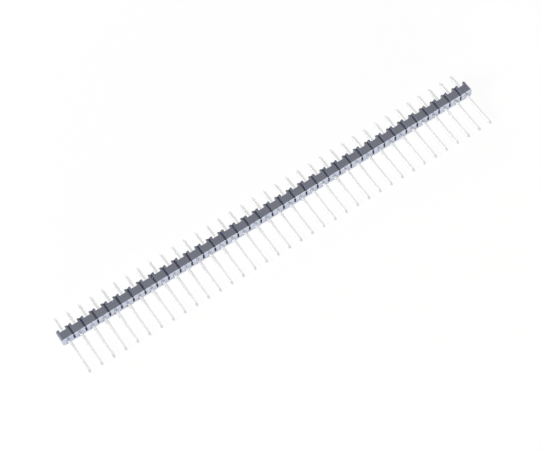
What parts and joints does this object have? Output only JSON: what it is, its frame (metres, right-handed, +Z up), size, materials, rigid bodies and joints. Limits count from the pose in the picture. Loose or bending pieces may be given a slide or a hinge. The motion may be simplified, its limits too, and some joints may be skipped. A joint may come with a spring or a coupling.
{
  "type": "pin header strip",
  "caption": "Straight single-row breakaway pin header: a scored dark grey plastic insulator on standoff feet, with square tin-plated posts, long on the mating side and short on the solder side.",
  "frame": {"origin": "centre of the strip's footprint, at the level of the table that it lies on", "axes": "+X along the row, +Y towards the solder tails, +Z up. The strip lies as it comes to rest, leaning 6.40 degrees about X on the lower edge of its mating face and on its long posts, so the tails point along +Y and 6.40 degrees up"},
  "size_m": [0.0914, 0.0132, 0.0025],
  "materials": {
    "insulator": "dark slate grey moulded thermoplastic with a satin sheen",
    "post": "bright tin plating over a copper alloy, silver in colour"
  },
  "bodies": {
    "root": {"insulator": "insulator", "pin_01": "post", "pin_02": "post", "pin_03": "post", "pin_04": "post", "pin_05": "post", "pin_06": "post", "pin_07": "post", "pin_08": "post", "pin_09": "post", "pin_10": "post", "pin_11": "post", "pin_12": "post", "pin_13": "post", "pin_14": "post", "pin_15": "post", "pin_16": "post", "pin_17": "post", "pin_18": "post", "pin_19": "post", "pin_20": "post", "pin_21": "post", "pin_22": "post", "pin_23": "post", "pin_24": "post", "pin_25": "post", "pin_26": "post", "pin_27": "post", "pin_28": "post", "pin_29": "post", "pin_30": "post", "pin_31": "post", "pin_32": "post", "pin_33": "post", "pin_34": "post", "pin_35": "post", "pin_36": "post"}
  },
  "joints": []
}
